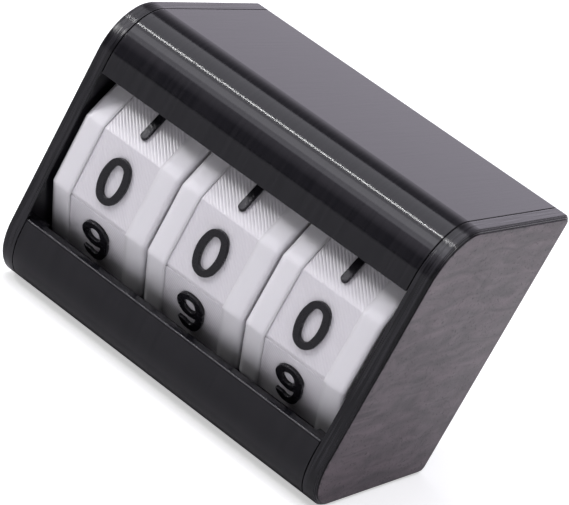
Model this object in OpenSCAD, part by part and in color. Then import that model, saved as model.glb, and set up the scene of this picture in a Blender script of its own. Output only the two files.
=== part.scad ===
// Hand-turned score counter: a black box with three ten-sided number wheels.
// Millimetres. X runs along the shaft, the window faces -Y, +Z is up, and the
// box stands on z = 0 with its middle over the origin.

/* [Housing] */
// Gap between an outer wheel and the cap beside it
side_gap = 0.7; // [0.5:0.1:1.2]
// Room between the wheels and the wall below them
room_below = 3.9; // [2:0.1:8]
// Room between the wheels and the wall above them
room_above = 2.9; // [2:0.1:8]
// Room between the wheels and the back wall
room_behind = 2.96; // [2:0.01:10]
// Wall thickness of the wrap
wall = 2.2; // [1.6:0.1:2.6]
// Radius of the nose over the window
nose_r = 9; // [6:0.5:10]
// Radius of the rounded lower front
toe_r = 10; // [6:0.5:11]
// Radius of the two back corners
back_r = 1.5; // [0.5:0.1:2]
// How far the window reaches down from the height of the shaft
window_down = 13.6; // [13:0.1:14.7]
// How far the window reaches up from the height of the shaft
window_up = 13.2; // [12.6:0.1:14.4]
// Rounding of the front edge of the lip
lip_r = 0.5; // [0.2:0.1:0.9]
// Open seam between the wrap and each cap
seam = 0.2; // [0.1:0.02:0.3]

/* [End caps] */
// Thickness of a cap's plate
cap_t = 2.6; // [2.2:0.1:2.8]
// Thickness of each of the three stepped first layers on the outer face
cap_step = 0.2; // [0.1:0.05:0.3]
// How far the outermost first layer is drawn in
cap_inset = 0.6; // [0.3:0.1:0.9]
// Depth of the tongue that sits inside the wrap
tongue_l = 2.4; // [1.5:0.1:4]
// Thickness of the tongue
tongue_t = 1.2; // [0.8:0.1:1.3]
// Gap between the tongue and the wrap
tongue_gap = 0.15; // [0.05:0.05:0.3]
// Plastic left outside the shaft socket
socket_skin = 1.2; // [0.8:0.1:1.6]
// Wall of the boss round the shaft socket
boss_wall = 2.2; // [1.5:0.1:3]

/* [Shaft] */
// Shaft diameter
axle_d = 8; // [6:0.5:9]
// Depth of the flat along the shaft
flat_depth = 0.8; // [0.5:0.1:1.2]
// Radial gap of a wheel on the shaft
running_gap = 0.08; // [0.05:0.01:0.1]
// Radial gap of the pieces keyed on the shaft
seat_gap = 0.05; // [0.03:0.01:0.1]
// Gap along the shaft between neighbours
end_gap = 0.1; // [0.05:0.05:0.15]

/* [Number wheels] */
// Width of a wheel over its rims
wheel_w = 19.4; // [18.6:0.1:20]
// Gap between two wheels
wheel_gap = 0.6; // [0.4:0.1:1]
// Radius over the corners of the number faces
face_r = 19.6; // [19:0.1:19.8]
// Width of the shoulder on each side
shoulder_w = 3.85; // [3:0.05:4.5]
// How far the shoulders stand above the tiles, at the corners
shoulder_rise = 0.2; // [0.1:0.05:0.3]
// How much a shoulder falls away from its tile to its rounded rim
shoulder_fall = 0.1; // [0.05:0.05:0.2]
// Width of the rounded rim
rim_w = 0.9; // [0.6:0.1:1.5]
// How much the rounded rim drops to the end of the wheel
rim_drop = 0.25; // [0.15:0.05:0.5]
// How far the front number face lies behind the front of the box
face_setback = 0.6; // [0.6:0.1:1.4]
// Wall of the drum under the number band
drum_wall = 1.4; // [1:0.1:1.6]
// Thickness of the web between hub and rim
web_t = 2.4; // [1.6:0.2:3]
// How far the left end of the hub lies inside the rim
hub_recess = 2.9; // [2.4:0.1:3.4]
// How far the units wheel stands past its number, within its play, in degrees
units_turn = 1; // [-2:0.1:2]
// Wall of the hub
hub_wall = 3; // [2:0.1:3.4]

/* [Number bands] */
// Thickness of a tile
band_t = 1.2; // [1:0.1:1.4]
// Gap between a band and the floor of its groove
band_gap = 0.05; // [0.02:0.01:0.1]
// Width of the closing joint between 9 and 0
joint_w = 0.5; // [0.3:0.05:0.7]
// Depth of the closing joint
joint_depth = 0.25; // [0.15:0.05:0.4]
// Depth of the fold notches inside the band
fold_depth = 0.7; // [0.3:0.1:0.8]
// Width of the fold notches at the inside
fold_w = 0.8; // [0.4:0.1:1]

/* [Numerals] */
// Height of a numeral
digit_h = 8; // [7:0.1:9]
// Width of a numeral
digit_w = 5.2; // [4.6:0.1:5.6]
// How far the numerals sit below the middle of their tiles
digit_low = 0.15; // [0:0.05:0.3]
// Stroke width of upright strokes
stroke = 1.25; // [1:0.05:1.4]
// Stroke width at top and bottom
stroke_thin = 1.2; // [1:0.05:1.25]
// How far the numerals stand above their tiles
digit_raise = 0.6; // [0.3:0.1:0.6]

/* [Detent] */
// Width of the notched ring and of the clicker, along the shaft
detent_w = 4.4; // [3:0.2:5]
// Radial thickness of the notched ring inside the drum wall
ring_t = 1.2; // [1.1:0.1:1.6]
// Radius of a notch
notch_r = 2.4; // [2.3:0.1:2.6]
// Depth of a notch
notch_depth = 0.9; // [0.7:0.1:1]
// Radius of a clicker's nose, smaller than its notch so that a wheel has some play
nose_tip_r = 1.3; // [1.1:0.05:1.3]
// Gap between a clicker's nose and the bottom of its notch
nose_gap = 0.2; // [0.15:0.05:0.25]
// Thickness of a clicker's arm
arm_t = 1.2; // [0.8:0.1:1.6]
// How far an arm reaches round the shaft, in degrees
arm_sweep = 130; // [90:5:140]
// Wall of the hub of a clicker
clicker_wall = 2.2; // [1.6:0.1:3]

/* [Spacers] */
// Wall of a spacer sleeve
sleeve_wall = 1.6; // [1:0.1:2.4]
// Thickness of a thrust washer
washer_t = 0.8; // [0.5:0.1:1]
// Ring width of a thrust washer
washer_wall = 2.6; // [1.6:0.1:3]

/* [Hidden] */

// Ten faces to a wheel, numbered upwards from the one at the front
faces = 10;
face_turn = 360 / faces;
face_flat = cos(face_turn / 2);
// How far a cutting shape runs past what it cuts
over = 1;
// How deep two shapes of one solid run into each other
sink = 0.2;

shell_color = [0.16, 0.16, 0.17];
wheel_color = [0.90, 0.90, 0.93];
band_color = [0.95, 0.95, 0.97];
numeral_color = [0.10, 0.10, 0.11];
inner_color = [0.45, 0.46, 0.48];

// The three wheels and the gaps beside them set the length of the box
pitch = wheel_w + wheel_gap;
cap_in_x = pitch + wheel_w / 2 + side_gap;
body_l = 2 * (cap_in_x + cap_t);

// The wheels and the room round them set its depth and height
axle_z = wall + room_below + face_r;
body_h = axle_z + face_r + room_above + wall;
body_d = face_setback + face_r * face_flat + face_r + room_behind + wall;
front_y = -body_d / 2;
back_y = body_d / 2;
axle_y = front_y + face_setback + face_r * face_flat;
window_bottom = axle_z - window_down;
window_top = axle_z + window_up;

axle_r = axle_d / 2;
keyed_r = axle_r + seat_gap;
face_w = wheel_w - 2 * shoulder_w;
groove_r = face_r - band_t / face_flat;
drum_in_r = face_r * face_flat - band_t - drum_wall;
bore_r = axle_r + running_gap;

// Detent
ring_in_r = drum_in_r - ring_t;
notch_at_r = ring_in_r + notch_depth - notch_r;
nose_at_r = ring_in_r + notch_depth - nose_gap - nose_tip_r;
arm_out_r = nose_at_r - nose_tip_r / 2;
arm_in_r = arm_out_r - arm_t;
arm_lead = 6;
clicker_hub_r = keyed_r + clicker_wall;

// Places along the shaft, from the middle of a wheel
hub_right = web_t / 2;
hub_left = hub_recess - wheel_w / 2;
hub_l = hub_right - hub_left;
clicker_left = hub_right + end_gap;
clicker_right = clicker_left + detent_w;
washer_right = hub_left - end_gap;
washer_left = washer_right - washer_t;
sleeve_left = clicker_right + end_gap;

// Places along the shaft, from the middle of the box
boss_end_x = pitch - washer_left + end_gap;
socket_end_x = body_l / 2 - socket_skin;
axle_end_x = socket_end_x - end_gap;

// Half sizes of a numeral
half_w = digit_w / 2;
half_h = digit_h / 2;

// Rectangle from the origin to (x, y), whatever their signs
module rectangle_to(x, y) {
    translate([min(x, 0), min(y, 0)]) square([abs(x), abs(y)]);
}

// What comes off a square corner to leave a round one of radius r. The centre of
// the round is at the origin, and the corner lies the way of the signs sx and sy.
module corner_waste(r, sx, sy) {
    difference() {
        rectangle_to(sx * (r + over), sy * (r + over));
        circle(r = r, $fn = 96);
    }
}

// Outline of the box, seen from the side, drawn in by e all round: the front is
// on the left and up is up
module side_outline(e = 0) {
    small = max(back_r - e, 0.3);
    difference() {
        translate([front_y + e, e]) square([body_d - 2 * e, body_h - 2 * e]);
        translate([front_y + nose_r, body_h - nose_r]) corner_waste(nose_r - e, -1, 1);
        translate([front_y + toe_r, toe_r]) corner_waste(toe_r - e, -1, -1);
        translate([back_y - e - small, body_h - e - small]) corner_waste(small, 1, 1);
        translate([back_y - e - small, e + small]) corner_waste(small, 1, -1);
    }
}

// The front opening, in the side view
module window_cut() {
    translate([front_y - over, window_bottom])
        square([body_d / 2, window_top - window_bottom]);
}

// Makes a drawing of the side view into a solid that runs along X from x0 to x1
module along_x(x0, x1) {
    translate([x0, 0, 0]) rotate([90, 0, 90]) linear_extrude(height = x1 - x0) children();
}

// Turns a solid made round the Z axis into one round the shaft, at place x. The
// turn raises the front.
module on_shaft(x, turn = 0) {
    translate([x, axle_y, axle_z]) rotate([-turn, 0, 0]) rotate([90, 0, 90]) children();
}

// Round bar of radius r, with the shaft's flat on top
module d_shape(r) {
    flat_at = r - flat_depth;
    difference() {
        circle(r = r, $fn = 64);
        translate([-r - over, flat_at]) square([2 * (r + over), flat_depth + over]);
    }
}

// Plain tube round the shaft, from x0 to x1
module tube(x0, x1, bore, wall_t) {
    on_shaft(x0) linear_extrude(height = x1 - x0) difference() {
        circle(r = bore + wall_t, $fn = 64);
        circle(r = bore, $fn = 64);
    }
}

// One wrap round the bottom, back and top, open at the ends and at the window
module housing_shell() color(shell_color) {
    along_x(seam - cap_in_x, cap_in_x - seam) difference() {
        side_outline();
        side_outline(wall);
        window_cut();
        // round the front edge of the lip
        translate([front_y + lip_r, window_bottom - lip_r]) corner_waste(lip_r, -1, 1);
    }
}

// Cap for the left end. The first printed layers on its outer face step in.
module end_cap() {
    outer_x = -body_l / 2;
    inset_share = [1, 0.5, 0.2];
    layers = len(inset_share);
    difference() {
        union() {
            for (i = [0:layers - 1])
                along_x(outer_x + i * cap_step, outer_x + (i + 1) * cap_step)
                    side_outline(cap_inset * inset_share[i]);
            along_x(outer_x + layers * cap_step, -cap_in_x) side_outline();
            // tongue inside the wrap, cut away at the window
            along_x(-cap_in_x, tongue_l - cap_in_x) difference() {
                side_outline(wall + tongue_gap);
                side_outline(wall + tongue_gap + tongue_t);
                window_cut();
            }
            // boss round the socket, up to the first washer
            on_shaft(-cap_in_x)
                cylinder(r = keyed_r + boss_wall, h = cap_in_x - boss_end_x, $fn = 64);
        }
        on_shaft(-socket_end_x)
            linear_extrude(height = socket_end_x - boss_end_x + over) d_shape(keyed_r);
    }
}

module left_end_cap() color(shell_color) end_cap();

module right_end_cap() color(shell_color) mirror([1, 0, 0]) end_cap();

module axle() color(inner_color) {
    on_shaft(-axle_end_x) linear_extrude(height = 2 * axle_end_x) d_shape(axle_r);
}

// Ten-sided outline round the shaft, with one flat facing the front
module decagon(r) {
    rotate(180 + face_turn / 2) circle(r = r, $fn = faces);
}

// Ten-sided outside of a wheel: on each side a rounded rim in short bevels and a
// shoulder that rises gently to the tiles, with the groove for the band between them
module wheel_outside() {
    inner_r = face_r + shoulder_rise;
    outer_r = inner_r - shoulder_fall;
    drop_share = [1, 0.45, 0.1, 0];
    bevels = len(drop_share) - 1;
    rim = [for (i = [0:bevels])
        [outer_r - drop_share[i] * rim_drop, i * rim_w / bevels - wheel_w / 2]];
    side = concat([[0, -wheel_w / 2]], rim, [[inner_r, -face_w / 2], [groove_r, -face_w / 2]]);
    last = len(side) - 1;
    other_side = [for (i = [0:last]) [side[last - i][0], -side[last - i][1]]];
    rotate(180 + face_turn / 2) rotate_extrude($fn = faces) polygon(concat(side, other_side));
}

// Wheel body: the ten-sided outside, web, hub and notched ring
module drum(place, turn = 0) color(wheel_color) {
    on_shaft(place, turn) difference() {
        union() {
            difference() {
                wheel_outside();
                translate([0, 0, -wheel_w / 2 - over])
                    cylinder(r = drum_in_r, h = wheel_w + 2 * over, $fn = 128);
            }
            // web
            translate([0, 0, -web_t / 2]) cylinder(r = drum_in_r + sink, h = web_t, $fn = 128);
            // hub
            translate([0, 0, hub_left]) cylinder(r = bore_r + hub_wall, h = hub_l, $fn = 64);
            // ring with one notch for each number
            linear_extrude(height = clicker_right) difference() {
                circle(r = drum_in_r + sink, $fn = 128);
                circle(r = ring_in_r, $fn = 128);
                for (i = [0:faces - 1])
                    rotate(i * face_turn) translate([notch_at_r, 0]) circle(r = notch_r, $fn = 48);
            }
        }
        translate([0, 0, hub_left - over]) cylinder(r = bore_r, h = hub_l + 2 * over, $fn = 64);
    }
}

// Strip of ten tiles folded round the drum and closed between 9 and 0
module number_band(place, turn = 0) color(band_color) {
    on_shaft(place, turn) translate([0, 0, -face_w / 2])
        linear_extrude(height = face_w) difference() {
            decagon(face_r);
            decagon(groove_r + band_gap / face_flat);
            for (i = [0:faces - 1])
                rotate(180 + (i + 0.5) * face_turn) {
                    // closing joint, under the front tile
                    if (i == 0)
                        translate([face_r - joint_depth, -joint_w / 2])
                            square([joint_depth + over, joint_w]);
                    // fold notches, from inside
                    if (i > 0)
                        polygon([[groove_r - over, fold_w / 2], [groove_r - over, -fold_w / 2],
                            [groove_r, -fold_w / 2], [groove_r + fold_depth, 0],
                            [groove_r, fold_w / 2]]);
                }
        }
}

// Oval with half sizes a and b, drawn from four arcs that meet smoothly. The two
// arcs at its far ends have their share of its smaller half size as radius.
module oval(a, b, share) {
    small = min(a, b);
    r = share * small;
    c = max(a, b) - r;
    big = (small * small + c * c - r * r) / (2 * (small - r));
    meet = c * big / (big - r);
    rotate(a > b ? 90 : 0) {
        translate([0, c]) circle(r = r, $fn = 48);
        translate([0, -c]) circle(r = r, $fn = 48);
        intersection() {
            translate([small - big, 0]) circle(r = big, $fn = 128);
            translate([big - small, 0]) circle(r = big, $fn = 128);
            translate([-small, -meet]) square([2 * small, 2 * meet]);
        }
    }
}

// Ring of a numeral: full outside, with a more pointed hole
module oval_ring(a, b) {
    difference() {
        oval(a, b, 0.85);
        oval(a - stroke, b - stroke_thin, 0.75);
    }
}

// Straight stroke with round ends, from p to q
module bar(p, q, w = stroke) {
    run = q - p;
    translate(p) circle(r = w / 2, $fn = 32);
    translate(q) circle(r = w / 2, $fn = 32);
    translate(p) rotate(atan2(run[1], run[0])) translate([0, -w / 2]) square([norm(run), w]);
}

// Lower part of a 3 or 5: a ring open on the left, with half height low. The
// fraction of that height where the open end stops is stop.
module lower_bowl(low, stop) {
    intersection() {
        translate([0, low - half_h]) oval_ring(half_w, low);
        polygon([[-half_w - over, stop * low - half_h], [-0.25 * half_w, stop * low - half_h],
            [-0.25 * half_w, half_h], [half_w + over, half_h], [half_w + over, -half_h - over],
            [-half_w - over, -half_h - over]]);
    }
}

// Numeral n, centred, with its foot towards -y. The factors are shares of its
// half height and half width.
module numeral(n) {
    a = half_w;
    b = half_h;
    s = stroke / 2;
    t = stroke_thin / 2;
    if (n == 0) oval_ring(a, b);
    if (n == 1) {
        bar([s / 2, s - b], [s / 2, b - s]);
        bar([s / 2, b - s], [s / 2 - 0.7 * a, 0.62 * b - s], stroke_thin);
    }
    if (n == 2) {
        bowl = 0.56 * b;
        intersection() {
            translate([0, b - bowl]) oval_ring(a, bowl);
            polygon([[-a - over, b - 0.8 * bowl], [0, b - 0.8 * bowl], [0, b - 1.2 * bowl],
                [a + over, b - 1.2 * bowl], [a + over, b + over], [-a - over, b + over]]);
        }
        bar([0.95 * a - s, b - 1.15 * bowl], [s - a, s - b]);
        bar([s - a, t - b], [a - t, t - b], stroke_thin);
    }
    if (n == 3) {
        low = 0.6 * b;
        mirror([0, 1]) lower_bowl(b - low + t, 0.6);
        lower_bowl(low, 0.6);
    }
    if (n == 4) {
        bar([0.35 * a, s - b], [0.35 * a, b - s]);
        bar([0.35 * a, b - s], [t - a, -0.3 * b], stroke_thin);
        bar([t - a, -0.3 * b], [a - t, -0.3 * b], stroke_thin);
    }
    if (n == 5) {
        low = 0.62 * b;
        bar([t - 0.8 * a, b - t], [0.9 * a - t, b - t], stroke_thin);
        bar([t - 0.8 * a, b - t], [t - 0.9 * a, 0.1 * b], stroke_thin);
        bar([t - 0.9 * a, 0.1 * b], [0, 2 * low - b - t], stroke_thin);
        lower_bowl(low, 0.6);
    }
    if (n == 6) rotate(180) numeral(9);
    if (n == 7) {
        bar([t - a, b - t], [a - s, b - t], stroke_thin);
        bar([a - s, b - s], [-0.3 * a, s - b]);
    }
    if (n == 8) {
        low = 0.6 * b;
        top = b - low + t;
        translate([0, b - top]) oval_ring(0.92 * a, top);
        translate([0, low - b]) oval_ring(a, low);
    }
    if (n == 9) {
        bowl = 0.62 * b;
        translate([0, b - bowl]) oval_ring(a, bowl);
        intersection() {
            oval_ring(a, b);
            polygon([[0, b + over], [a + over, b + over], [a + over, -b - over],
                [-a - over, -b - over], [-a - over, -0.62 * b], [0, -0.62 * b]]);
        }
    }
}

// The ten raised numerals of one wheel, each flat on its tile
module numerals(place, turn = 0) color(numeral_color) {
    for (n = [0:faces - 1])
        translate([place, axle_y, axle_z]) rotate([-n * face_turn - turn, 0, 0])
            translate([0, -face_r * face_flat, -digit_low]) rotate([90, 0, 0])
                linear_extrude(height = digit_raise) numeral(n);
}

// Two-armed clicker, keyed on the shaft, with its noses at the front and back
module detent_spring(place) color(inner_color) {
    far = 2 * ring_in_r;
    middle = (arm_sweep - arm_lead) / 2;
    on_shaft(place + clicker_left) linear_extrude(height = detent_w) difference() {
        union() {
            circle(r = clicker_hub_r, $fn = 64);
            for (side = [0, 180]) rotate(side) {
                // arm, bent round the shaft
                intersection() {
                    difference() {
                        circle(r = arm_out_r, $fn = 128);
                        circle(r = arm_in_r, $fn = 128);
                    }
                    polygon([[0, 0], far * [cos(-arm_lead), sin(-arm_lead)],
                        far * [cos(middle), sin(middle)], far * [cos(arm_sweep), sin(arm_sweep)]]);
                }
                // root that joins the arm to the hub
                rotate(arm_sweep) translate([clicker_hub_r - 2 * sink, -arm_t])
                    square([arm_out_r - clicker_hub_r + sink, arm_t]);
                // nose in its notch
                translate([nose_at_r, 0]) circle(r = nose_tip_r, $fn = 48);
            }
        }
        d_shape(keyed_r);
    }
}

// Sleeve from a clicker to the next washer, or to the right cap's boss
module spacer_sleeve(place, end_x) color(inner_color)
    tube(place + sleeve_left, end_x, keyed_r, sleeve_wall);

module thrust_washer(place) color(band_color)
    tube(place + washer_left, place + washer_right, keyed_r, washer_wall);

housing_shell();
left_end_cap();
right_end_cap();
axle();
drum(-pitch);  // hundreds_drum
drum(0);  // tens_drum
drum(pitch, units_turn);  // units_drum
number_band(-pitch);  // hundreds_number_band
number_band(0);  // tens_number_band
number_band(pitch, units_turn);  // units_number_band
numerals(-pitch);  // hundreds_numerals
numerals(0);  // tens_numerals
numerals(pitch, units_turn);  // units_numerals
detent_spring(-pitch);  // hundreds_detent_spring
detent_spring(0);  // tens_detent_spring
detent_spring(pitch);  // units_detent_spring
spacer_sleeve(-pitch, washer_left - end_gap);  // hundreds_spacer_sleeve
spacer_sleeve(0, pitch + washer_left - end_gap);  // tens_spacer_sleeve
spacer_sleeve(pitch, boss_end_x - end_gap);  // units_spacer_sleeve
thrust_washer(-pitch);  // hundreds_thrust_washer
thrust_washer(0);  // tens_thrust_washer
thrust_washer(pitch);  // units_thrust_washer
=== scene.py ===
# %% [markdown]
# # A hand-turned score counter
# This lesson dresses a small printed counter: a black box with three white
# ten-sided number wheels behind a window. All the working shapes come from the
# CAD model, so the job here is light, surface and the marks that a 3-D printer
# leaves. Everything is in metres, +Z is up and the window faces -Y.

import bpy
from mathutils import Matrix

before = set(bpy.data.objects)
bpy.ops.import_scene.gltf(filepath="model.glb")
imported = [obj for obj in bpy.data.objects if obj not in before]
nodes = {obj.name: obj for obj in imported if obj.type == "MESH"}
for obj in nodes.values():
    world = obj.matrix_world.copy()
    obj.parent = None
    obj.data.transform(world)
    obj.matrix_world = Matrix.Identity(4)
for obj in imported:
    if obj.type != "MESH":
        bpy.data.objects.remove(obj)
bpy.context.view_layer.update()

# %% Tools and units
import math

import bpy
from mathutils import Vector

MM = 0.001
wheels = ("hundreds", "tens", "units")
print(len(nodes), "solids from the CAD model")

# %% [markdown]
# ## The camera
# A photograph is matched by finding where its camera stood. Guessing by eye
# takes many tries, so here the box's corners and the rims of the wheels were
# measured in the picture, and the position that explains them all was solved
# for. The camera stands 42 cm off with a long lens, and it is rolled by about
# 29 degrees, which is why the box seems to lean.

# %% Place the camera
camera_data = bpy.data.cameras.new("photo_camera")
camera_data.sensor_width = 36.0
camera_data.lens = 168.350
camera_data.clip_start = 0.01
camera_data.clip_end = 20.0
camera = bpy.data.objects.new("photo_camera", camera_data)
bpy.context.scene.collection.objects.link(camera)
camera.location = (0.151971, -0.370593, 0.157644)
camera.rotation_euler = [math.radians(a) for a in (69.2555, -27.1557, 31.8776)]
bpy.context.scene.camera = camera
print("lens", camera_data.lens, "mm")

# %% [markdown]
# ## Small helpers for shader nodes
# Building materials in code needs the same three moves again and again: add a
# node, set its values, join two sockets. Wrapping them keeps the later cells
# short enough to read as a description of the surface.


# %% Add and calculate
def add(tree, kind, **values):
    """Adds a node and sets its properties by name."""
    n = tree.nodes.new(kind)
    for key, value in values.items():
        setattr(n, key, value)
    return n


def math_node(tree, operation, a, b=None, c=None):
    """A Math node whose inputs are sockets or plain numbers."""
    n = add(tree, "ShaderNodeMath", operation=operation)
    for index, value in enumerate((a, b, c)):
        if value is None:
            continue
        if isinstance(value, (int, float)):
            n.inputs[index].default_value = value
        else:
            tree.links.new(value, n.inputs[index])
    return n.outputs[0]


# %% Mix and stretch
def mix_color(tree, factor, first, second):
    """Mixes two colours or colour sockets by a socket or number."""
    n = add(tree, "ShaderNodeMix", data_type="RGBA")
    for socket, value in ((n.inputs[0], factor), (n.inputs[6], first), (n.inputs[7], second)):
        if isinstance(value, (int, float, tuple)):
            socket.default_value = value
        else:
            tree.links.new(value, socket)
    return n.outputs[2]


def ramp(tree, value, low, high):
    """Stretches a value so that low gives 0 and high gives 1, and stops there."""
    n = add(tree, "ShaderNodeMapRange")
    tree.links.new(value, n.inputs[0])
    n.inputs[1].default_value = low
    n.inputs[2].default_value = high
    return n.outputs[0]


# %% Make and place groups
def new_group(name, inputs, outputs):
    """An empty shader group with named number inputs and named outputs."""
    g = bpy.data.node_groups.new(name, "ShaderNodeTree")
    for label, start in inputs:
        s = g.interface.new_socket(label, in_out="INPUT", socket_type="NodeSocketFloat")
        s.default_value = start
    for label in outputs:
        g.interface.new_socket(label, in_out="OUTPUT", socket_type="NodeSocketFloat")
    return g, add(g, "NodeGroupInput"), add(g, "NodeGroupOutput")


def place_group(tree, group, **values):
    """Puts a group into a material and sets its inputs by name."""
    n = add(tree, "ShaderNodeGroup", node_tree=group)
    for key, value in values.items():
        n.inputs[key.replace("_", " ")].default_value = value
    return n


# %% Bump heights and ranges
def heights(tree, *parts):
    """Adds up bump heights; each part is a socket from 0 to 1 and its height in metres."""
    total = 0.0
    for socket, height in parts:
        total = math_node(tree, "MULTIPLY_ADD", socket, height, total)
    return total


def between(tree, value, low, high):
    """Turns a value from 0 to 1 into one from low to high."""
    return math_node(tree, "MULTIPLY_ADD", value, high - low, low)


print("helpers ready")

# %% [markdown]
# ## Printed layers
# The wrap and the caps were printed lying on their ends, so their layers are
# planes of equal x. Each layer is a bead 0.2 mm high with a groove on either
# side. Modelling 330 grooves would be heavy and would alias, so the beads are a
# bump height. Real layers are not perfectly even, so a slow noise shifts them.
# Some stand out as streaks that run on for most of a side, so a noise that is
# stretched along the layer gives those.

# %% Layer group
LAYER = 0.2 * MM
layers, gin, gout = new_group("Printed layers", [("Layer height", LAYER), ("Unevenness", 0.3)],
                              ["Height", "Coarse"])
coords = add(layers, "ShaderNodeTexCoord")
split = add(layers, "ShaderNodeSeparateXYZ")
layers.links.new(coords.outputs["Object"], split.inputs[0])
layer_count = math_node(layers, "DIVIDE", split.outputs[0], gin.outputs["Layer height"])
drift = add(layers, "ShaderNodeTexNoise", noise_dimensions="1D")
drift.inputs["Detail"].default_value = 2.0
layers.links.new(math_node(layers, "MULTIPLY", layer_count, 0.23), drift.inputs["W"])
drift.inputs["Scale"].default_value = 1.0
shifted = math_node(layers, "MULTIPLY_ADD", drift.outputs[0], gin.outputs["Unevenness"], layer_count)
wave = math_node(layers, "SINE", math_node(layers, "MULTIPLY", shifted, 2 * math.pi))
layers.links.new(math_node(layers, "MULTIPLY_ADD", wave, 0.5, 0.5), gout.inputs["Height"])
print("beads", round(LAYER / MM, 2), "mm high")

# %% Streaks along the layers
coarse = add(layers, "ShaderNodeTexNoise")
stretch = add(layers, "ShaderNodeMapping")
stretch.inputs["Scale"].default_value = (1.0, 0.03, 0.03)
layers.links.new(coords.outputs["Object"], stretch.inputs["Vector"])
layers.links.new(stretch.outputs[0], coarse.inputs["Vector"])
layers.links.new(math_node(layers, "DIVIDE", 0.5, gin.outputs["Layer height"]), coarse.inputs["Scale"])
coarse.inputs["Detail"].default_value = 3.0
layers.links.new(coarse.outputs[0], gout.inputs["Coarse"])
print("group", layers.name)

# %% [markdown]
# ## Mottle
# No printed face has one even tone. Handling, cooling and the build plate leave
# soft patches, with fine grain on top. One group gives both: a slow noise for
# the patches and a quick one for the grain.

# %% Mottle group
mottle, gin, gout = new_group("Plastic mottle", [("Patch size", 0.006), ("Grain size", 0.0004)],
                              ["Patches", "Grain"])
coords = add(mottle, "ShaderNodeTexCoord")
for label, size, detail in (("Patches", "Patch size", 3.0), ("Grain", "Grain size", 2.0)):
    cloud = add(mottle, "ShaderNodeTexNoise")
    cloud.inputs["Detail"].default_value = detail
    mottle.links.new(coords.outputs["Object"], cloud.inputs["Vector"])
    mottle.links.new(math_node(mottle, "DIVIDE", 1.0, gin.outputs[size]), cloud.inputs["Scale"])
    mottle.links.new(cloud.outputs[0], gout.inputs[label])
print("group", mottle.name)

# %% [markdown]
# ## Unfolding the number band
# Each band was printed as a flat strip of ten tiles and then folded round its
# wheel. Its surface pattern was laid down flat, so the pattern has to be worked
# out on the unfolded strip. The group below turns a point on a wheel back into
# its place on its own tile: how far along the shaft, and how far up the tile.

# %% Tile group
AXLE_Y = -0.0027596
AXLE_Z = 0.0257
FACES = 10
tile, gin, gout = new_group("Tile place", [("Wheel turn", 0.0)], ["Along", "Up"])
coords = add(tile, "ShaderNodeTexCoord")
split = add(tile, "ShaderNodeSeparateXYZ")
tile.links.new(coords.outputs["Object"], split.inputs[0])
forward = math_node(tile, "SUBTRACT", AXLE_Y, split.outputs[1])
upward = math_node(tile, "SUBTRACT", split.outputs[2], AXLE_Z)
angle = math_node(tile, "SUBTRACT", math_node(tile, "ARCTAN2", upward, forward), gin.outputs["Wheel turn"])
number = math_node(tile, "ROUND", math_node(tile, "MULTIPLY", angle, FACES / (2 * math.pi)))
facing = math_node(tile, "MULTIPLY_ADD", number, 2 * math.pi / FACES, gin.outputs["Wheel turn"])
rise = math_node(tile, "MULTIPLY", upward, math_node(tile, "COSINE", facing))
fall = math_node(tile, "MULTIPLY", forward, math_node(tile, "SINE", facing))
tile.links.new(split.outputs[0], gout.inputs["Along"])
tile.links.new(math_node(tile, "SUBTRACT", rise, fall), gout.inputs["Up"])
print("group", tile.name)

# %% [markdown]
# ## Nozzle lines
# The top layer of a flat print is laid in parallel lines, turned 45 degrees to
# its sides. On the tiles they are half a millimetre apart and run from the upper
# left to the lower right. The lines are rounded ridges with narrow grooves between.

# %% Nozzle line group
nozzle, gin, gout = new_group("Nozzle lines", [("Along", 0.0), ("Up", 0.0), ("Line width", 0.0005)],
                              ["Ridge"])
across = math_node(nozzle, "MULTIPLY", math_node(nozzle, "ADD", gin.outputs["Along"], gin.outputs["Up"]),
                   math.sqrt(0.5))
wobble = add(nozzle, "ShaderNodeTexNoise")
wobble.inputs["Scale"].default_value = 180.0
coords = add(nozzle, "ShaderNodeTexCoord")
nozzle.links.new(coords.outputs["Object"], wobble.inputs["Vector"])
lines = math_node(nozzle, "DIVIDE", across, gin.outputs["Line width"])
lines = math_node(nozzle, "MULTIPLY_ADD", wobble.outputs[0], 0.5, lines)
cycle = math_node(nozzle, "SINE", math_node(nozzle, "MULTIPLY", lines, math.pi))
nozzle.links.new(math_node(nozzle, "ABSOLUTE", cycle), gout.inputs["Ridge"])
print("group", nozzle.name)

# %% [markdown]
# ## A base for every plastic
# All the pieces are printed plastic, so they share the Principled shader with
# one refractive index. A Bevel node rounds the shading of every edge by a tenth
# of a millimetre or more, because no printed edge is truly sharp, and its normal
# feeds the bump that each finish adds.

# %% Plastic starter
PLASTIC_IOR = 1.42


def plastic(name, edge):
    """A material with its shader, a rounded-edge normal and a bump ready to feed."""
    m = bpy.data.materials.new(name)
    m.use_nodes = True
    tree = m.node_tree
    tree.nodes.clear()
    out = add(tree, "ShaderNodeOutputMaterial")
    shader = add(tree, "ShaderNodeBsdfPrincipled")
    shader.inputs["IOR"].default_value = PLASTIC_IOR
    tree.links.new(shader.outputs[0], out.inputs["Surface"])
    soft_edge = add(tree, "ShaderNodeBevel", samples=6)
    soft_edge.inputs["Radius"].default_value = edge
    bump = add(tree, "ShaderNodeBump")
    bump.inputs["Distance"].default_value = 1.0
    tree.links.new(soft_edge.outputs[0], bump.inputs["Normal"])
    tree.links.new(bump.outputs[0], shader.inputs["Normal"])
    return m, tree, shader, bump


print("plastic starter ready, index", PLASTIC_IOR)

# %% [markdown]
# ## Black plastic of the wrap
# Black plastic shows almost nothing of its own colour. What the eye sees is
# reflection, so the roughness and the layer bump do the work: smooth enough for
# a thin bright line along the nose, and ribbed enough to spread that line along
# the whole length.

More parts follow.
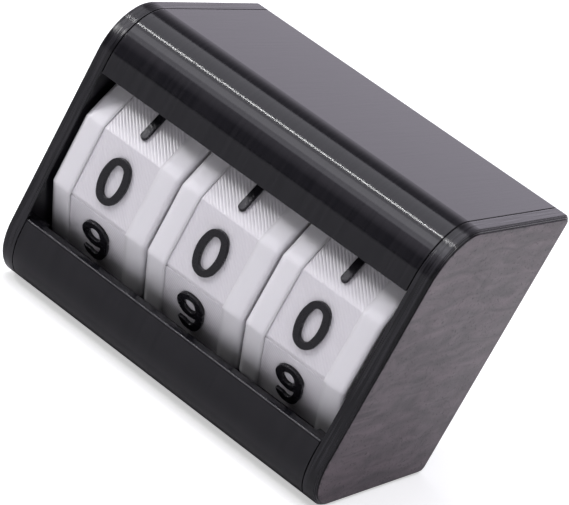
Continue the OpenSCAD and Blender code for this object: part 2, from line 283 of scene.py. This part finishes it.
# %% Wrap material
wrap_black, tree, shader, bump = plastic("wrap_black", 0.15 * MM)
ribs = place_group(tree, layers, Layer_height=LAYER, Unevenness=0.35)
spots = place_group(tree, mottle, Patch_size=9 * MM, Grain_size=0.35 * MM)
depth = heights(tree, (ribs.outputs["Height"], 0.003 * MM), (ribs.outputs["Coarse"], 0.009 * MM),
                (spots.outputs["Grain"], 0.0003 * MM))
tree.links.new(depth, bump.inputs["Height"])
tree.links.new(between(tree, spots.outputs["Patches"], 0.065, 0.115), shader.inputs["Roughness"])
tone = mix_color(tree, ramp(tree, ribs.outputs["Coarse"], 0.3, 0.7),
                 (0.0035, 0.0035, 0.005, 1.0), (0.0095, 0.009, 0.011, 1.0))
tree.links.new(tone, shader.inputs["Base Color"])
print("material", wrap_black.name)

# %% [markdown]
# ## Black plastic of the caps
# A cap was printed with its outer face on the build plate. That face has no
# layers: it copies the plate, matte and blotchy, with fine pits that crowd near
# the rim, where they also darken it as painted shade. Its grey tone is painted
# sheen: the same black filament, lightened to stand in for the grazing
# reflection of the matte face.
# Round the edge the layers show again. One material covers both, and the height
# of the point along x tells them apart.

# %% Cap material
BODY_END = 33.0 * MM
FACE_SKIN = 0.08 * MM
cap_black, tree, shader, bump = plastic("cap_black", 0.12 * MM)
coords = add(tree, "ShaderNodeTexCoord")
split = add(tree, "ShaderNodeSeparateXYZ")
tree.links.new(coords.outputs["Object"], split.inputs[0])
outward = math_node(tree, "ABSOLUTE", split.outputs[0])
plate_face = ramp(tree, outward, BODY_END - FACE_SKIN, BODY_END - FACE_SKIN / 2)
side = math_node(tree, "SUBTRACT", 1.0, plate_face)
ribs = place_group(tree, layers, Layer_height=LAYER, Unevenness=0.4)
spots = place_group(tree, mottle, Patch_size=7 * MM, Grain_size=0.45 * MM)
print("plate face begins at x =", round(BODY_END - FACE_SKIN, 5))

# %% Marks of the build plate
smears = add(tree, "ShaderNodeTexNoise")
smears.inputs["Scale"].default_value = 420.0
smears.inputs["Detail"].default_value = 4.0
smears.inputs["Distortion"].default_value = 1.2
slant = add(tree, "ShaderNodeMapping")
slant.inputs["Rotation"].default_value = (math.radians(-35.0), 0.0, 0.0)
slant.inputs["Scale"].default_value = (1.0, 0.22, 1.0)
tree.links.new(coords.outputs["Object"], slant.inputs["Vector"])
tree.links.new(slant.outputs[0], smears.inputs["Vector"])
near_rim = add(tree, "ShaderNodeBevel", samples=6)
near_rim.inputs["Radius"].default_value = 3.0 * MM
lean = add(tree, "ShaderNodeSeparateXYZ")
tree.links.new(near_rim.outputs[0], lean.inputs[0])
# Painted shade: the pits crowd towards the rim and darken the plate face there, partly as real pits and
# partly as painted shade for the darker rim.
rim = ramp(tree, math_node(tree, "SUBTRACT", 1.0, math_node(tree, "ABSOLUTE", lean.outputs[0])), 0.0, 0.12)
pits_and_rim_shade = ramp(tree, math_node(tree, "MULTIPLY_ADD", rim, 0.10, spots.outputs["Grain"]), 0.60, 0.72)
marks = heights(tree, (spots.outputs["Patches"], 0.13 * MM), (smears.outputs[0], 0.036 * MM),
                (spots.outputs["Grain"], 0.022 * MM), (pits_and_rim_shade, -0.05 * MM))
print("marks: patches, smears, grain and pits near the rim")

# %% Join plate face and layered edge
rib_depth = heights(tree, (ribs.outputs["Height"], 0.006 * MM), (ribs.outputs["Coarse"], 0.05 * MM))
depth = math_node(tree, "MULTIPLY", rib_depth, side)
tree.links.new(math_node(tree, "MULTIPLY_ADD", marks, plate_face, depth), bump.inputs["Height"])
side_tone = mix_color(tree, ramp(tree, ribs.outputs["Coarse"], 0.40, 0.62),
                      (0.002, 0.002, 0.003, 1.0), (0.017, 0.016, 0.019, 1.0))
# Plate face tone: the light and dark smears are real marks, but the grey level is painted sheen, the black
# filament lightened to stand in for the grazing reflection of the matte face.
plate_tone_and_sheen = mix_color(tree, ramp(tree, smears.outputs[0], 0.3, 0.7),
                       (0.052, 0.041, 0.047, 1.0), (0.150, 0.114, 0.129, 1.0))
plate_tone_and_sheen = mix_color(tree, pits_and_rim_shade, plate_tone_and_sheen, (0.012, 0.011, 0.012, 1.0))
tree.links.new(mix_color(tree, plate_face, side_tone, plate_tone_and_sheen), shader.inputs["Base Color"])
roughness = between(tree, plate_face, 0.12, 0.36)
roughness = math_node(tree, "MULTIPLY_ADD", spots.outputs["Patches"], 0.10, roughness)
tree.links.new(roughness, shader.inputs["Roughness"])
print("material", cap_black.name)

# %% [markdown]
# ## White plastic of the wheels
# The white filament lets light a little way in, which softens every crease.
# Subsurface scattering does this, with a radius under one millimetre. The tint is
# slightly lilac.


# %% White plastic
def white_plastic(name, edge, scatter, reach):
    """White plastic: scatter is the share of light that enters, reach is how far."""
    m, tree, shader, bump = plastic(name, edge)
    shader.inputs["Roughness"].default_value = 0.26
    shader.inputs["Subsurface Weight"].default_value = scatter
    shader.inputs["Subsurface Radius"].default_value = (1.0, 1.0, 1.0)
    shader.inputs["Subsurface Scale"].default_value = reach
    return m, tree, shader, bump


def two_tones(tree, factor, color, darker):
    """Varies a colour between itself and a slightly darker copy."""
    return mix_color(tree, factor, (*[c * darker for c in color], 1.0), (*color, 1.0))


print("white plastic ready")

# %% [markdown]
# ## The drums
# The wheels were printed on their sides, so faint layers run round the shoulders.
# A nozzle rounds every edge that it draws, and a wide bevel in the shading gives
# that look.

# %% Wheel material
WHITE = (0.72, 0.705, 0.73)
wheel_white, tree, shader, bump = white_plastic("wheel_white", 1.3 * MM, 0.6, 0.8 * MM)
ribs = place_group(tree, layers, Layer_height=LAYER, Unevenness=0.3)
spots = place_group(tree, mottle, Patch_size=5 * MM, Grain_size=0.5 * MM)
depth = heights(tree, (ribs.outputs["Height"], 0.003 * MM), (spots.outputs["Grain"], 0.006 * MM))
tree.links.new(depth, bump.inputs["Height"])
tree.links.new(two_tones(tree, spots.outputs["Patches"], WHITE, 0.97), shader.inputs["Base Color"])
print("material", wheel_white.name)

# %% [markdown]
# ## The number bands
# The tiles show the nozzle lines of the flat strip; the grooves between them get
# a slightly darker copy of the white, which is painted shade. Light that spreads
# far inside would wash such fine lines out, so here it reaches only 0.3 mm. The
# units wheel stands one degree past its number, and its pattern is turned with it.

# %% Band material
TILE_WHITE = (0.68, 0.66, 0.69)
LINE_WIDTH = 0.5 * MM
UNITS_TURN = math.radians(1.0)


def band_material(name, turn):
    """White plastic with the nozzle lines of the unfolded strip."""
    m, tree, shader, bump = white_plastic(name, 0.3 * MM, 1.0, 0.3 * MM)
    place = place_group(tree, tile, Wheel_turn=turn)
    rows = place_group(tree, nozzle, Line_width=LINE_WIDTH)
    tree.links.new(place.outputs["Along"], rows.inputs["Along"])
    tree.links.new(place.outputs["Up"], rows.inputs["Up"])
    spots = place_group(tree, mottle, Patch_size=4 * MM, Grain_size=0.4 * MM)
    depth = heights(tree, (rows.outputs["Ridge"], 0.037 * MM), (spots.outputs["Grain"], 0.006 * MM))
    tree.links.new(depth, bump.inputs["Height"])
    # Painted shade: the grooves between the nozzle lines get a slightly darker copy of the tile white.
    groove_shade = ramp(tree, rows.outputs["Ridge"], 0.0, 0.5)
    tree.links.new(two_tones(tree, groove_shade, TILE_WHITE, 0.98), shader.inputs["Base Color"])
    return m


band_whites = {w: band_material(w + "_band_white", UNITS_TURN if w == "units" else 0.0) for w in wheels}
print("materials", [m.name for m in band_whites.values()])

# %% [markdown]
# ## Black plastic of the numerals
# The numerals are the last layers of the strip in black. Their tops were ironed
# by the nozzle, so they are glossier than the box, with small ripples that catch
# the light.

# %% Numeral material
numeral_black, tree, shader, bump = plastic("numeral_black", 0.35 * MM)
shader.inputs["Base Color"].default_value = (0.008, 0.0075, 0.0095, 1.0)
spots = place_group(tree, mottle, Patch_size=1.5 * MM, Grain_size=0.3 * MM)
depth = heights(tree, (spots.outputs["Patches"], 0.17 * MM), (spots.outputs["Grain"], 0.012 * MM))
tree.links.new(depth, bump.inputs["Height"])
tree.links.new(between(tree, spots.outputs["Patches"], 0.16, 0.36), shader.inputs["Roughness"])
print("material", numeral_black.name)

# %% [markdown]
# ## Grey plastic of the inner pieces
# The shaft, clickers, sleeves and washers are hidden in use. They still get a
# printed finish, because the counter may be shown taken apart.


# %% Inner materials
def inner_plastic(name, color, roughness):
    """Plain printed plastic with layers and a little grain."""
    m, tree, shader, bump = plastic(name, 0.1 * MM)
    shader.inputs["Roughness"].default_value = roughness
    ribs = place_group(tree, layers, Layer_height=LAYER, Unevenness=0.3)
    spots = place_group(tree, mottle, Patch_size=3 * MM, Grain_size=0.4 * MM)
    depth = heights(tree, (ribs.outputs["Height"], 0.008 * MM), (spots.outputs["Grain"], 0.01 * MM))
    tree.links.new(depth, bump.inputs["Height"])
    tree.links.new(two_tones(tree, spots.outputs["Patches"], color, 0.85), shader.inputs["Base Color"])
    return m


axle_grey = inner_plastic("axle_grey", (0.27, 0.28, 0.30), 0.4)
clicker_grey = inner_plastic("clicker_grey", (0.20, 0.21, 0.23), 0.42)
spacer_grey = inner_plastic("spacer_grey", (0.42, 0.43, 0.45), 0.45)
print("materials", axle_grey.name, clicker_grey.name, spacer_grey.name)

# %% [markdown]
# ## Dressing the solids
# Every piece of the real counter was printed in one colour, so each solid gets
# one material. The three wheels are dressed in a loop, because they are alike.


# %% Dress the solids
def dress(node_name, material):
    """Gives a CAD solid one material."""
    data = nodes[node_name].data
    data.materials.clear()
    data.materials.append(material)


dress("housing_shell", wrap_black)
dress("left_end_cap", cap_black)
dress("right_end_cap", cap_black)
dress("axle", axle_grey)
for w in wheels:
    dress(w + "_drum", wheel_white)
    dress(w + "_number_band", band_whites[w])
    dress(w + "_numerals", numeral_black)
    dress(w + "_detent_spring", clicker_grey)
    dress(w + "_spacer_sleeve", spacer_grey)
    dress(w + "_thrust_washer", spacer_grey)
print("dressed", len(nodes), "solids")

# %% [markdown]
# ## The studio
# The counter stands on a pale floor in a white studio. To the camera the room is
# plain white. The floor adds a little light of its own for what is seen, so
# that it reads as white and still keeps the counter's shadow. In the gloss it
# brightens only behind the counter, and in front its colour is painted darker as
# painted shade, so the front of the black wrap stays dark.

# %% Floor
floor_mesh = bpy.data.meshes.new("floor")
half = 3.0
floor_mesh.from_pydata([(-half, -half, 0), (half, -half, 0), (half, half, 0), (-half, half, 0)], [],
                       [(0, 1, 2, 3)])
floor = bpy.data.objects.new("floor", floor_mesh)
bpy.context.scene.collection.objects.link(floor)
floor.location.z = -0.1 * MM
print("floor", 2 * half, "m wide, just under the counter")

# %% Floor surface
PLAIN = (1.0, 1.0, 1.0, 1.0)
PALE = (0.86, 0.86, 0.86, 1.0)
DIM_IN_GLOSS = (0.55, 0.54, 0.56, 1.0)
BEHIND_Y = (-0.02, 0.12)
floor_pale = bpy.data.materials.new("floor_pale")
floor_pale.use_nodes = True
tree = floor_pale.node_tree
tree.nodes.clear()
out = add(tree, "ShaderNodeOutputMaterial")
matte = add(tree, "ShaderNodeBsdfDiffuse")
glow = add(tree, "ShaderNodeEmission")
rays = add(tree, "ShaderNodeLightPath")
place = add(tree, "ShaderNodeNewGeometry")
split = add(tree, "ShaderNodeSeparateXYZ")
tree.links.new(place.outputs["Position"], split.inputs[0])
glossy = rays.outputs["Is Glossy Ray"]
behind = ramp(tree, split.outputs[1], *BEHIND_Y)
# Painted shade: seen in the gloss, the floor in front of the counter takes the dimmer tone.
near_tone = mix_color(tree, glossy, PALE, DIM_IN_GLOSS)
tone = mix_color(tree, behind, near_tone, PALE)
tree.links.new(tone, matte.inputs["Color"])
print("floor tone", PALE[0])

# %% Floor glow
SEEN_GLOW = 0.52
GLOSS_GLOW = 0.32
clear = math_node(tree, "MAXIMUM", rays.outputs["Is Camera Ray"], rays.outputs["Is Transmission Ray"])
in_gloss = math_node(tree, "MULTIPLY", glossy, math_node(tree, "MULTIPLY", behind, GLOSS_GLOW))
tree.links.new(math_node(tree, "MULTIPLY_ADD", clear, SEEN_GLOW, in_gloss), glow.inputs["Strength"])
tree.links.new(mix_color(tree, glossy, PLAIN, (1.0, 0.92, 1.0, 1.0)), glow.inputs["Color"])
both = add(tree, "ShaderNodeAddShader")
tree.links.new(matte.outputs[0], both.inputs[0])
tree.links.new(glow.outputs[0], both.inputs[1])
tree.links.new(both.outputs[0], out.inputs["Surface"])
floor_mesh.materials.append(floor_pale)
print("floor glow added")

# %% [markdown]
# ## The room's light
# The world gives soft fill. Seen directly or through something clear it is white.
# In gloss the same white backdrop shows low behind the counter, and the room
# fades to grey overhead and towards the camera, as it does in a real studio. That
# fading makes the dark band along the nose. A faint haze high in front gives the
# band a soft lower edge.

# %% World
world = bpy.data.worlds.new("studio")
bpy.context.scene.world = world
world.use_nodes = True
tree = world.node_tree
tree.nodes.clear()
out = add(tree, "ShaderNodeOutputWorld")
fill = add(tree, "ShaderNodeBackground")
fill.inputs["Color"].default_value = (0.97, 0.97, 1.0, 1.0)
fill.inputs["Strength"].default_value = 0.15
white = add(tree, "ShaderNodeBackground")
rays = add(tree, "ShaderNodeLightPath")
tint = mix_color(tree, rays.outputs["Is Glossy Ray"], PLAIN, (1.0, 0.94, 1.08, 1.0))
tree.links.new(tint, white.inputs["Color"])
print("world fill", fill.inputs["Strength"].default_value)

# %% Backdrop and haze in the gloss
ROOM_GREY = 0.20
BACKDROP_GLOW = 0.70
HAZE_GLOW = 1.3
toward = add(tree, "ShaderNodeTexCoord")
split = add(tree, "ShaderNodeSeparateXYZ")
tree.links.new(toward.outputs["Generated"], split.inputs[0])
behind = ramp(tree, split.outputs[1], 0.1, 0.5)
low = math_node(tree, "SUBTRACT", 1.0, ramp(tree, split.outputs[2], 0.26, 0.72))
low_behind = math_node(tree, "MULTIPLY", behind, low)
backdrop = math_node(tree, "MULTIPLY_ADD", low_behind, BACKDROP_GLOW, ROOM_GREY)
ahead = math_node(tree, "SUBTRACT", 1.0, ramp(tree, split.outputs[1], -0.9, -0.4))
haze = math_node(tree, "MULTIPLY", ahead, ramp(tree, split.outputs[2], 0.30, 0.66))
backdrop = math_node(tree, "MULTIPLY_ADD", haze, HAZE_GLOW, backdrop)
print("backdrop and haze made")

# %% Join what is seen and what lights
clear = math_node(tree, "MAXIMUM", rays.outputs["Is Camera Ray"], rays.outputs["Is Transmission Ray"])
tree.links.new(math_node(tree, "MAXIMUM", clear, backdrop), white.inputs["Strength"])
seen = math_node(tree, "MAXIMUM", clear, rays.outputs["Is Glossy Ray"])
choice = add(tree, "ShaderNodeMixShader")
tree.links.new(seen, choice.inputs[0])
tree.links.new(fill.outputs[0], choice.inputs[1])
tree.links.new(white.outputs[0], choice.inputs[2])
tree.links.new(choice.outputs[0], out.inputs["Surface"])
print("world", world.name, "joined")

# %% [markdown]
# ## Lamps
# Five lamps do the rest. A wide soft box overhead gives the grey band on the
# nose, and a thin tube beside it draws the bright line. A second box in front
# carries the band down the nose. The key stands up on the left. It shines along
# the nozzle lines of the tiles that face the camera, which hides them, and across
# those of the tiles that face up, which shows them. A low reflector on the right
# opens the tiles that face down.

# %% Lamp helper
AIM = Vector((0.0, 0.0, 0.025))


def lamp(name, direction, distance, width, height, power, color=(1.0, 1.0, 1.0), level=False):
    """An area lamp that looks at the counter; a level one keeps its length along X."""
    data = bpy.data.lights.new(name, "AREA")
    data.shape = "RECTANGLE"
    data.size = width
    data.size_y = height
    data.energy = power
    data.color = color
    o = bpy.data.objects.new(name, data)
    bpy.context.scene.collection.objects.link(o)
    o.location = AIM + Vector(direction).normalized() * distance
    o.rotation_euler = (AIM - o.location).to_track_quat("-Z", "Y").to_euler()
    if level:
        o.rotation_euler = (math.atan2(-o.location.y, o.location.z - AIM.z), 0.0, 0.0)
    print(name, "at", [round(v, 3) for v in o.location], power, "W")


# %% Place the lamps
lamp("overhead_softbox", (0.0, -0.204, 0.979), 0.60, 0.90, 0.87, 4.2, (0.93, 0.92, 1.0))
lamp("tube_lamp", (-0.358, -0.237, 0.903), 0.90, 0.60, 0.009, 1.4, level=True)
lamp("front_softbox", (-0.358, -0.475, 0.804), 0.90, 0.50, 0.20, 0.50, (0.95, 0.94, 1.0), level=True)
lamp("key_softbox", (-0.67, -0.53, 0.52), 0.90, 0.20, 0.18, 2.70)
lamp("low_reflector", (0.45, -0.88, 0.12), 0.60, 0.40, 0.12, 0.06)

# %% [markdown]
# ## Finish
# The picture is read with the plain Standard view, so the colours come out as
# they are written.

bpy.context.scene.view_settings.view_transform = "Standard"
